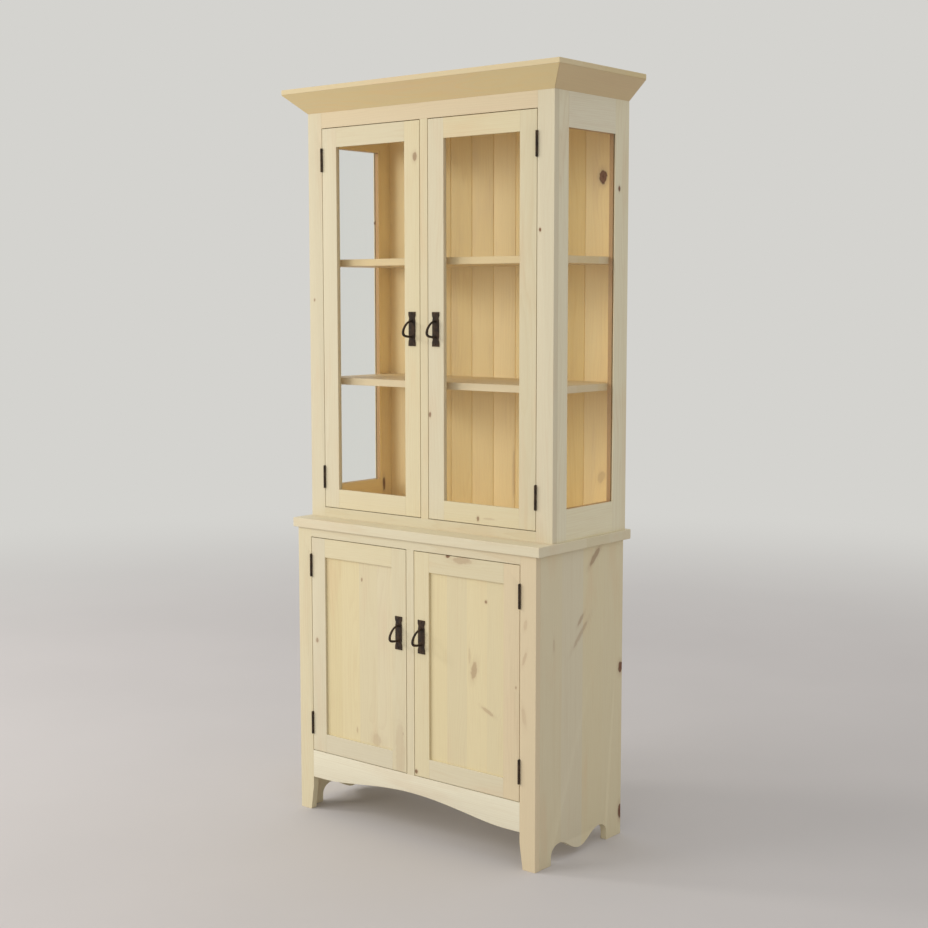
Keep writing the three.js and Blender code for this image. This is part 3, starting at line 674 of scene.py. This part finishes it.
def mitred(node, across, prefix, slot, body="root", finish=None):
    """A glass stop as four strips, mitred at the corners."""
    low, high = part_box(node)
    corners = {
        "left_low": (low[across], low.z, 1, -1), "left_high": (low[across], high.z, 1, 1),
        "right_low": (high[across], low.z, 1, 1), "right_high": (high[across], high.z, 1, -1),
    }
    strips = {
        "near": (1, ("left_low", 1), ("left_high", 1)), "far": (-1, ("right_low", -1), ("right_high", -1)),
        "bottom": (1, ("left_low", -1), ("right_low", 1)), "top": (-1, ("left_high", -1), ("right_high", 1)),
    }
    for name, (outwards, *cuts) in strips.items():
        along, wide = (Z, across) if name in ("near", "far") else (across, Z)
        half = Vector()
        half[wide] = outwards
        bm = sliced(copied(node), (low + high) / 2, half)
        for corner, way in cuts:
            at_across, at_up, normal_across, normal_up = corners[corner]
            point, normal = Vector(), Vector()
            point[across], point.z = at_across, at_up
            normal[across], normal.z = way * normal_across, way * normal_up
            sliced(bm, point, normal.normalized())
        board(
            node, f"{prefix}_{name}_stop", slot, along, wide, sizes().joint_ease, body=body, bm=bm,
            finish=finish,
        )


def boarded(node, prefix, slot, wild, finish=None):
    """A back as separate boards, parted at the joints that the frame's vees show."""
    low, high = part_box(node)
    joints = sorted({
        round(vertex.co.x, PLACE_DIGITS) for vertex in frame["nodes"][node].data.vertices
        if low.y + JOINT_MARGIN < vertex.co.y < high.y - JOINT_MARGIN
    })
    edges = [low.x, *joints, high.x]
    for index, (start, end) in enumerate(zip(edges, edges[1:])):
        bm = trimmed(copied(node), X, start, end)
        board(
            node, f"{prefix}_{index}", slot, Z, X, sizes().joint_ease, wild=wild, bm=bm, finish=finish
        )


class CupboardPart:
    """What every operator of this add-on shares."""

    bl_options = {"REGISTER", "UNDO"}

    def execute(self, context):
        self.make()
        return {"FINISHED"}


class CUPBOARD_OT_base_sides(CupboardPart, bpy.types.Operator):
    """Make the two glued-up sides of the base, with their scalloped feet"""

    bl_idname = "cupboard.base_sides"
    bl_label = "Base sides"

    def make(self):
        board("base_side_right", "base_side_right_boards", "pale_wood", Z, Y, strips=4)
        board("base_side_left", "base_side_left_boards", "pale_wood", Z, Y, strips=4, wild=4)


class CUPBOARD_OT_base_front(CupboardPart, bpy.types.Operator):
    """Make the base's face frame: stiles with tapered legs, rails and the arched apron"""

    bl_idname = "cupboard.base_front"
    bl_label = "Base front"

    def make(self):
        fine = sizes().joint_ease
        for name in ("left_stile", "right_stile", "centre_stile"):
            board(f"base_{name}", f"base_{name}_board", "pale_wood", Z, X, fine)
        for name in ("top_rail", "apron"):
            board(f"base_{name}", f"base_{name}_board", "pale_wood", X, Z, fine)


class CUPBOARD_OT_base_inside(CupboardPart, bpy.types.Operator):
    """Make the base's floor, its shelf and its boarded back"""

    bl_idname = "cupboard.base_inside"
    bl_label = "Base inside"

    def make(self):
        board("base_bottom_board", "base_floor_boards", "pale_wood", X, Y, strips=4, wild=4)
        board("base_shelf", "base_shelf_boards", "pale_wood", X, Y, strips=4, wild=3)
        boarded("base_back", "base_back_board", "pale_wood", wild=2)


class CUPBOARD_OT_waist_board(CupboardPart, bpy.types.Operator):
    """Make the waist board, with a rounded lip"""

    bl_idname = "cupboard.waist_board"
    bl_label = "Waist board"

    def make(self):
        board("waist_board", "waist_boards", "pale_wood", X, Y, sizes().lip_ease, strips=4)


class CUPBOARD_OT_upper_sides(CupboardPart, bpy.types.Operator):
    """Make the upper cabinet's window frames and the stops round their panes"""

    bl_idname = "cupboard.upper_sides"
    bl_label = "Upper sides"

    def make(self):
        for side in SIDES:
            prefix = f"upper_{side}_side"
            names = [f"{prefix}_{member}" for member in SIDE_MEMBERS]
            framed(f"upper_side_frame_{side}", f"side_pane_{side}", Y, names, "pale_wood")
            # The side windows' stops take a darker brown: painted shade
            mitred(f"side_glass_stop_{side}", Y, prefix, "inside_wood", finish="stop_wood")


class CUPBOARD_OT_upper_front(CupboardPart, bpy.types.Operator):
    """Make the upper cabinet's face frame"""

    bl_idname = "cupboard.upper_front"
    bl_label = "Upper front"

    def make(self):
        fine = sizes().joint_ease
        for name in ("left_stile", "right_stile", "centre_stile"):
            board(f"upper_{name}", f"upper_{name}_board", "pale_wood", Z, X, fine)
        for name in ("bottom_rail", "top_rail"):
            board(f"upper_{name}", f"upper_{name}_board", "pale_wood", X, Z, fine)


class CUPBOARD_OT_upper_inside(CupboardPart, bpy.types.Operator):
    """Make the upper cabinet's floor, its two shelves and its boarded back"""

    bl_idname = "cupboard.upper_inside"
    bl_label = "Upper inside"

    def make(self):
        board("upper_bottom_board", "upper_floor_boards", "inside_wood", X, Y, strips=3, wild=2)
        for shelf in ("lower_shelf", "higher_shelf"):
            board(
                f"upper_{shelf}", f"upper_{shelf}_boards", "inside_wood", X, Y, strips=3, wild=1,
                finish="shelf_wood",
            )
        boarded("upper_back", "upper_back_board", "inside_wood", wild=0, finish="pale_wood")


class CUPBOARD_OT_crown(CupboardPart, bpy.types.Operator):
    """Make the three sloped crown boards and the cap over them"""

    bl_idname = "cupboard.crown"
    bl_label = "Crown"

    def make(self):
        # The crown's front and cap take the shaded crown colour and its sides the warmer shelf colour: painted
        # shade and warm bounce light
        board("crown_front", "crown_front_board", "pale_wood", X, Z, finish="crown_wood")
        for side in SIDES:
            board(f"crown_{side}", f"crown_{side}_board", "pale_wood", Y, Z, finish="shelf_wood")
        board(
            "crown_cap", "crown_cap_boards", "pale_wood", X, Y, sizes().lip_ease, strips=4, wild=4,
            finish="crown_wood",
        )


def door_members(door, side):
    """A door's four members, from its left to its right as seen from the front, then from the bottom up."""
    near, far = ("hinge", "lock") if side == "left" else ("lock", "hinge")
    return [f"{door}_{name}" for name in (f"{near}_stile", f"{far}_stile", "bottom_rail", "top_rail")]


class CUPBOARD_OT_base_doors(CupboardPart, bpy.types.Operator):
    """Make the two panelled doors"""

    bl_idname = "cupboard.base_doors"
    bl_label = "Base doors"

    def make(self):
        for side in SIDES:
            door = f"base_{side}_door"
            framed(f"{door}_frame", f"{door}_panel", X, door_members(door, side), "pale_wood", door)
            board(f"{door}_panel", f"{door}_panel_boards", "panel_wood", Z, X, strips=4, body=door)


class CUPBOARD_OT_glazed_doors(CupboardPart, bpy.types.Operator):
    """Make the two glazed doors and the stops round their panes"""

    bl_idname = "cupboard.glazed_doors"
    bl_label = "Glazed doors"

    def make(self):
        for side in SIDES:
            door = f"upper_{side}_door"
            framed(f"{door}_frame", f"{door}_pane", X, door_members(door, side), "pale_wood", door)
            mitred(f"{door}_glass_stop", X, door, "pale_wood", door)


class CUPBOARD_OT_panes(CupboardPart, bpy.types.Operator):
    """Make the four panes, with their cut edges ground"""

    bl_idname = "cupboard.panes"
    bl_label = "Panes"

    def make(self):
        panes = [(f"side_pane_{side}", "root") for side in SIDES]
        panes += [(f"upper_{side}_door_pane", f"upper_{side}_door") for side in SIDES]
        for node, body in panes:
            bm = eased(copied(node), PANE_EDGE, 1)
            stand(bm, f"{node}_glass", body, [node], "clear_glass")


def bar(bm, radius, low, high, sides, rims):
    """An upright round bar between two heights on the Z axis, with its lower and its upper rim rounded."""
    rod = bmesh.new()
    bmesh.ops.create_cone(
        rod, cap_ends=True, segments=sides, radius1=radius, radius2=radius, depth=high - low,
        matrix=Matrix.Translation((0, 0, (low + high) / 2)),
    )
    for way, rim in zip((-1, 1), rims):
        cap = max(rod.faces, key=lambda face: way * face.calc_center_median().z)
        bmesh.ops.bevel(
            rod, geom=cap.edges[:], offset=rim, affect="EDGES", segments=4 if rim > WIDE_RIM else 2,
            profile=0.5, material=-1,
        )
        rod = settled(rod)
    add_mesh(bm, rod)


def slab(bm, low, high, rim):
    """A box between two corners, with its edges rounded."""
    size = [abs(b - a) for a, b in zip(low, high)]
    middle = [(a + b) / 2 for a, b in zip(low, high)]
    box = bmesh.new()
    bmesh.ops.create_cube(box, size=1, matrix=Matrix.Translation(middle) @ Matrix.Diagonal((*size, 1)))
    bmesh.ops.bevel(
        box, geom=box.edges[:], offset=rim, affect="EDGES", segments=2, profile=0.5, material=-1
    )
    add_mesh(bm, box)


def screw(bm, place, way):
    """A countersunk screw's head with a slot, set flush in a leaf, seen along X."""
    radius = sizes().screw_radius
    turn = Matrix.Translation(place) @ Matrix.Rotation(way * math.pi / 2, 4, "Y")
    for side in (-1, 1):
        half = bmesh.new()
        bmesh.ops.create_cone(
            half, cap_ends=True, segments=SCREW_SIDES, radius1=radius, radius2=SCREW_TOP_SHARE * radius,
            depth=2 * SCREW_PROUD,
        )
        sliced(half, Vector((0, side * SCREW_HALF_SLOT, 0)), Vector((0, -side, 0)))
        bmesh.ops.transform(half, matrix=turn, verts=half.verts)
        add_mesh(bm, half)


def hinge_leaf(node, body, pin, into, first_knuckle, name):
    """One leaf of a butt hinge: the plate in the edge, its knuckles and its screws."""
    low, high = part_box(node)
    radius = sizes().barrel_radius
    pitch = (high.z - low.z) / KNUCKLES
    bm = bmesh.new()
    near = into * LEAF_FROM_PIN
    far = near + into * LEAF_THICKNESS
    slab(bm, (near, FACE_FROM_PIN, low.z), (far, FACE_FROM_PIN + LEAF_DEPTH, high.z), LEAF_EDGE)
    for index in range(first_knuckle, KNUCKLES, 2):
        gap_low = 0 if index == 0 else KNUCKLE_GAP / 2
        gap_high = 0 if index == KNUCKLES - 1 else KNUCKLE_GAP / 2
        bottom, top = low.z + index * pitch + gap_low, low.z + (index + 1) * pitch - gap_high
        rims = [
            BARREL_DOME_SHARE * radius if index == last else KNUCKLE_EDGE for last in (0, KNUCKLES - 1)
        ]
        bar(bm, radius, bottom, top, BARREL_SIDES, rims)
        neck_low = (near, NECK_START, bottom + NECK_EDGE)
        slab(bm, neck_low, (far, FACE_FROM_PIN + NECK_END, top - NECK_EDGE), NECK_EDGE)
    for height_share, depth_share in SCREW_PLACE_SHARES:
        height = low.z + (high.z - low.z) * height_share
        deep = FACE_FROM_PIN + LEAF_DEPTH * depth_share
        screw(bm, Vector((near - into * SCREW_SINK, deep, height)), -into)
    bmesh.ops.translate(bm, verts=bm.verts, vec=(pin.x, pin.y, 0))
    smooth_curves(stand(bm, name, body, [node], "dark_iron").data)


class CUPBOARD_OT_hinges(CupboardPart, bpy.types.Operator):
    """Make the eight butt hinges, two leaves each, with their screws"""

    bl_idname = "cupboard.hinges"
    bl_label = "Hinges"

    def make(self):
        pins = {joint["child"]: Vector(joint["pos_m"]) for joint in frame["joints"]}
        for tier in ("base", "upper"):
            for side, away in SIDES.items():
                door = f"{tier}_{side}_door"
                for place in ("lower", "higher"):
                    hinge = f"{door}_{place}_hinge"
                    hinge_leaf(
                        f"{hinge}_frame_leaf", "root", pins[door], away, 0, f"{hinge}_frame_half"
                    )
                    hinge_leaf(
                        f"{hinge}_door_leaf", door, pins[door], -away, 1, f"{hinge}_door_half"
                    )


def smooth_route(points, steps):
    """A smooth line through every point, as a list of places."""
    ends = [2 * points[0] - points[1], *points, 2 * points[-1] - points[-2]]
    line = []
    for before, start, end, after in zip(ends, ends[1:], ends[2:], ends[3:]):
        for step in range(steps):
            t = step / steps
            line.append(0.5 * (
                2 * start + (end - before) * t + (2 * before - 5 * start + 4 * end - after) * t ** 2
                + (3 * start - before - 3 * end + after) * t ** 3
            ))
    return [*line, points[-1]]


def swept(bm, line, radii, sides):
    """A round bar along a line, drawn out from a disc, with its own radius at each place."""
    made = bmesh.ops.create_circle(bm, cap_ends=True, segments=sides, radius=1)
    tip = made["verts"][0].link_faces[0]
    place = Matrix.Identity(4)
    for index, (point, radius) in enumerate(zip(line, radii)):
        ahead = line[min(index + 1, len(line) - 1)] - line[max(index - 1, 0)]
        turn = Vector((0, 0, 1)).rotation_difference(ahead.normalized()).to_matrix().to_4x4()
        goal = Matrix.Translation(point) @ turn @ Matrix.Scale(radius, 4)
        if index:
            drawn = bmesh.ops.extrude_face_region(bm, geom=[tip])["geom"]
            tip = next(item for item in drawn if isinstance(item, bmesh.types.BMFace))
        bmesh.ops.transform(bm, matrix=goal @ place.inverted(), verts=tip.verts)
        place = goal


def forged_pull(node, body):
    """A pull: a waisted plate with rounded edges, a drooping grip on two collars, and two fixing heads."""
    low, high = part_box(node)
    size = sizes()
    half_width, half_height = (high.x - low.x) / 2, (high.z - low.z) / 2
    plate = bmesh.new()
    right = [(w * half_width, h * half_height) for w, h in PLATE_OUTLINE_SHARES]
    outline = right + [(-x, z) for x, z in reversed(right)]
    face = plate.faces.new([plate.verts.new((x, 0, z)) for x, z in outline])
    drawn = bmesh.ops.extrude_face_region(plate, geom=[face])["geom"]
    moved = [item for item in drawn if isinstance(item, bmesh.types.BMVert)]
    bmesh.ops.translate(plate, verts=moved, vec=(0, -PLATE_THICKNESS, 0))
    bmesh.ops.recalc_face_normals(plate, faces=plate.faces)
    front = [
        edge for edge in plate.edges
        if all(vertex.co.y < -PLATE_THICKNESS / 2 for vertex in edge.verts) and edge.calc_face_angle(0.0) > 1
    ]
    bmesh.ops.bevel(
        plate, geom=front, offset=PLATE_EDGE, affect="EDGES", segments=3, profile=0.5, material=-1
    )
    bm = settled(plate)

    root = -PLATE_THICKNESS / 2
    reach = high.y - low.y - PLATE_THICKNESS / 2 - size.grip_radius
    points = [Vector((0, root - out * reach, up * size.grip_height)) for out, up in GRIP_ROUTE_SHARES]
    line = smooth_route(points, ROUTE_STEPS)
    radii = []
    for index in range(len(line)):
        share = index / (len(line) - 1)
        swell = GRIP_SWELL_SHARE * math.sin(math.pi * share ** GRIP_SWELL_POWER)
        radii.append(size.grip_radius * (GRIP_END_SHARE + swell))
    grip = bmesh.new()
    swept(grip, line, radii, size.grip_sides)
    bmesh.ops.recalc_face_normals(grip, faces=grip.faces)
    add_mesh(bm, grip)
    for up in (0.5, -0.5):
        collar = bmesh.new()
        radius = COLLAR_RADIUS_SHARE * size.grip_radius
        bar(collar, radius, 0, COLLAR_HEIGHT, COLLAR_SIDES, (COLLAR_EDGE, COLLAR_EDGE))
        place = Matrix.Translation((0, COLLAR_SINK - PLATE_THICKNESS, up * size.grip_height))
        bmesh.ops.transform(collar, matrix=place @ Matrix.Rotation(math.pi / 2, 4, "X"), verts=collar.verts)
        add_mesh(bm, collar)
    for up in (STUD_PLACE_SHARE, -STUD_PLACE_SHARE):
        stud = bmesh.new()
        bmesh.ops.create_uvsphere(stud, u_segments=20, v_segments=10, radius=size.stud_radius)
        bmesh.ops.scale(stud, vec=(1, STUD_DEPTH_SHARE, 1), verts=stud.verts)
        bmesh.ops.translate(stud, vec=(0, -PLATE_THICKNESS, up * half_height), verts=stud.verts)
        add_mesh(bm, stud)
    middle = Vector(((low.x + high.x) / 2, high.y, (low.z + high.z) / 2))
    bmesh.ops.translate(bm, verts=bm.verts, vec=middle)
    put_in_order(bm)
    smooth_curves(stand(bm, f"{body}_forged_pull", body, [node], "dark_iron").data, FORGED_ANGLE)


class CUPBOARD_OT_pulls(CupboardPart, bpy.types.Operator):
    """Make the four forged pulls"""

    bl_idname = "cupboard.pulls"
    bl_label = "Pulls"

    def make(self):
        for tier in ("base", "upper"):
            for side in SIDES:
                forged_pull(f"{tier}_{side}_door_pull", f"{tier}_{side}_door")


# The floor, in metres from its middle: how far it goes, and where it fades into the backdrop
FLOOR_RADIUS = 40
FLOOR_SIDES = 64
FADE_START = 2.2
FADE_END = 6.5

# The light all around, and the lamps: place, diameter and power in watts
AROUND_COLOUR = (0.99, 0.99, 0.985, 1)
AROUND_STRENGTH = 0.7
LAMP_TARGET = Vector((0, 0, 0.7))
LAMP_TINT = (1.0, 0.985, 0.95)
LAMPS = {
    "low_sun": (Vector((-4.8, -2.6, 2.9)), 1.2, 78),
    "wide_window": (Vector((-3.3, -4.6, 2.6)), 3.0, 112),
}

CAMERA_PLACE = Vector((2.70865, -3.25171, 1.45844))
CAMERA_AIM = Vector((-0.63115, 0.76834, -0.10633))
CAMERA_ROLL = math.radians(-0.04)
CAMERA_LENS = 60.26
SENSOR_WIDTH = 36


def stage_floor():
    """A floor that fades into the backdrop's colour, so that no edge shows from any side."""
    n = Nodes("plain floor")
    place = n.add("TexCoord").outputs["Object"]
    away = n.vector("LENGTH", n.vector("MULTIPLY", place, (1.0, 1.0, 0.0)))
    cloud = n.noise(place, 1.1, 4.0)["Fac"]
    tone = n.mix(n.span(cloud, 0.3, 0.7, 0.0, 0.06), colours().floor, (0.3, 0.29, 0.28))
    lit = n.add("BsdfPrincipled", Base_Color=tone, Roughness=0.85)
    plain = n.add("Emission", Color=colours().backdrop, Strength=1.0)
    path = n.add("LightPath").outputs
    seen = n.maths("MAXIMUM", path["Is Camera Ray"], path["Is Glossy Ray"])
    seen = n.maths("MAXIMUM", seen, path["Is Transmission Ray"])
    both = n.add("MixShader", Fac=n.maths("MULTIPLY", n.span(away, FADE_START, FADE_END), seen))
    n.put(both.inputs[1], lit.outputs[0])
    n.put(both.inputs[2], plain.outputs[0])
    material = n.finish(both.outputs[0])
    bm = bmesh.new()
    bmesh.ops.create_circle(bm, cap_ends=True, segments=FLOOR_SIDES, radius=FLOOR_RADIUS)
    mesh = bpy.data.meshes.new("studio_floor")
    bm.to_mesh(mesh)
    bm.free()
    mesh.materials.append(material)
    obj = bpy.data.objects.new("studio_floor", mesh)
    bpy.context.scene.collection.objects.link(obj)


def stage_world():
    """Soft light from all around, and a plain backdrop where the camera looks past the cupboard."""
    world = bpy.data.worlds.new("studio")
    world.use_nodes = True
    bpy.context.scene.world = world
    tree = world.node_tree
    tree.nodes.clear()
    output = tree.nodes.new("ShaderNodeOutputWorld")
    mix = tree.nodes.new("ShaderNodeMixShader")
    path = tree.nodes.new("ShaderNodeLightPath")
    around, behind = tree.nodes.new("ShaderNodeBackground"), tree.nodes.new("ShaderNodeBackground")
    around.inputs["Color"].default_value = AROUND_COLOUR
    around.inputs["Strength"].default_value = AROUND_STRENGTH
    behind.inputs["Color"].default_value = (*colours().backdrop, 1)
    seen = path.outputs["Is Camera Ray"]
    for name in ("Is Glossy Ray", "Is Transmission Ray"):
        most = tree.nodes.new("ShaderNodeMath")
        most.operation = "MAXIMUM"
        tree.links.new(seen, most.inputs[0])
        tree.links.new(path.outputs[name], most.inputs[1])
        seen = most.outputs[0]
    tree.links.new(seen, mix.inputs[0])
    tree.links.new(around.outputs[0], mix.inputs[1])
    tree.links.new(behind.outputs[0], mix.inputs[2])
    tree.links.new(mix.outputs[0], output.inputs["Surface"])


def lamp(name, place, size, power):
    """A round lamp turned to the cupboard's middle, which no pane or iron mirrors."""
    light = bpy.data.lights.new(name, "AREA")
    light.shape, light.size, light.energy, light.color = "DISK", size, power, LAMP_TINT
    obj = bpy.data.objects.new(name, light)
    obj.visible_glossy = False
    obj.location = place
    obj.rotation_mode = "QUATERNION"
    obj.rotation_quaternion = (LAMP_TARGET - place).to_track_quat("-Z", "Y")
    bpy.context.scene.collection.objects.link(obj)


class CUPBOARD_OT_stage(CupboardPart, bpy.types.Operator):
    """Set the floor, the backdrop, the soft lamps and the camera"""

    bl_idname = "cupboard.stage"
    bl_label = "Stage"

    def make(self):
        stage_floor()
        stage_world()
        for name, (place, size, power) in LAMPS.items():
            lamp(name, place, size, power)
        camera = bpy.data.objects.new("camera", bpy.data.cameras.new("camera"))
        camera.data.lens, camera.data.sensor_width = CAMERA_LENS, SENSOR_WIDTH
        camera.location = CAMERA_PLACE
        camera.rotation_mode = "QUATERNION"
        camera.rotation_quaternion = CAMERA_AIM.to_track_quat("-Z", "Y") @ Quaternion((0, 0, 1), CAMERA_ROLL)
        bpy.context.scene.collection.objects.link(camera)
        bpy.context.scene.camera = camera
        bpy.context.scene.view_settings.view_transform = "Standard"


OPERATORS = [
    CUPBOARD_OT_base_sides, CUPBOARD_OT_base_front, CUPBOARD_OT_base_inside, CUPBOARD_OT_waist_board,
    CUPBOARD_OT_upper_sides, CUPBOARD_OT_upper_front, CUPBOARD_OT_upper_inside, CUPBOARD_OT_crown,
    CUPBOARD_OT_base_doors, CUPBOARD_OT_glazed_doors, CUPBOARD_OT_panes, CUPBOARD_OT_hinges,
    CUPBOARD_OT_pulls, CUPBOARD_OT_stage,
]


class CUPBOARD_PT_parts(bpy.types.Panel):
    """The cupboard's parts, colours and sizes"""

    bl_idname = "CUPBOARD_PT_parts"
    bl_label = "Step back cupboard"
    bl_space_type = "VIEW_3D"
    bl_region_type = "UI"
    bl_category = "Cupboard"

    def draw(self, context):
        for operator in OPERATORS:
            self.layout.operator(operator.bl_idname)
        for group in (context.scene.cupboard_colours, context.scene.cupboard_sizes):
            box = self.layout.box()
            for name in group.bl_rna.properties.keys():
                if name not in ("rna_type", "name"):
                    box.prop(group, name)


CLASSES = [CupboardColours, CupboardSizes, *OPERATORS, CUPBOARD_PT_parts]


def register():
    for item in CLASSES:
        bpy.utils.register_class(item)
    bpy.types.Scene.cupboard_colours = PointerProperty(type=CupboardColours)
    bpy.types.Scene.cupboard_sizes = PointerProperty(type=CupboardSizes)


def unregister():
    del bpy.types.Scene.cupboard_sizes
    del bpy.types.Scene.cupboard_colours
    for item in reversed(CLASSES):
        bpy.utils.unregister_class(item)


def main():
    register()
    bpy.ops.cupboard.base_sides()
    bpy.ops.cupboard.base_front()
    bpy.ops.cupboard.base_inside()
    bpy.ops.cupboard.waist_board()
    bpy.ops.cupboard.upper_sides()
    bpy.ops.cupboard.upper_front()
    bpy.ops.cupboard.upper_inside()
    bpy.ops.cupboard.crown()
    bpy.ops.cupboard.base_doors()
    bpy.ops.cupboard.glazed_doors()
    bpy.ops.cupboard.panes()
    bpy.ops.cupboard.hinges()
    bpy.ops.cupboard.pulls()
    bpy.ops.cupboard.stage()


if __name__ == "__main__":
    main()
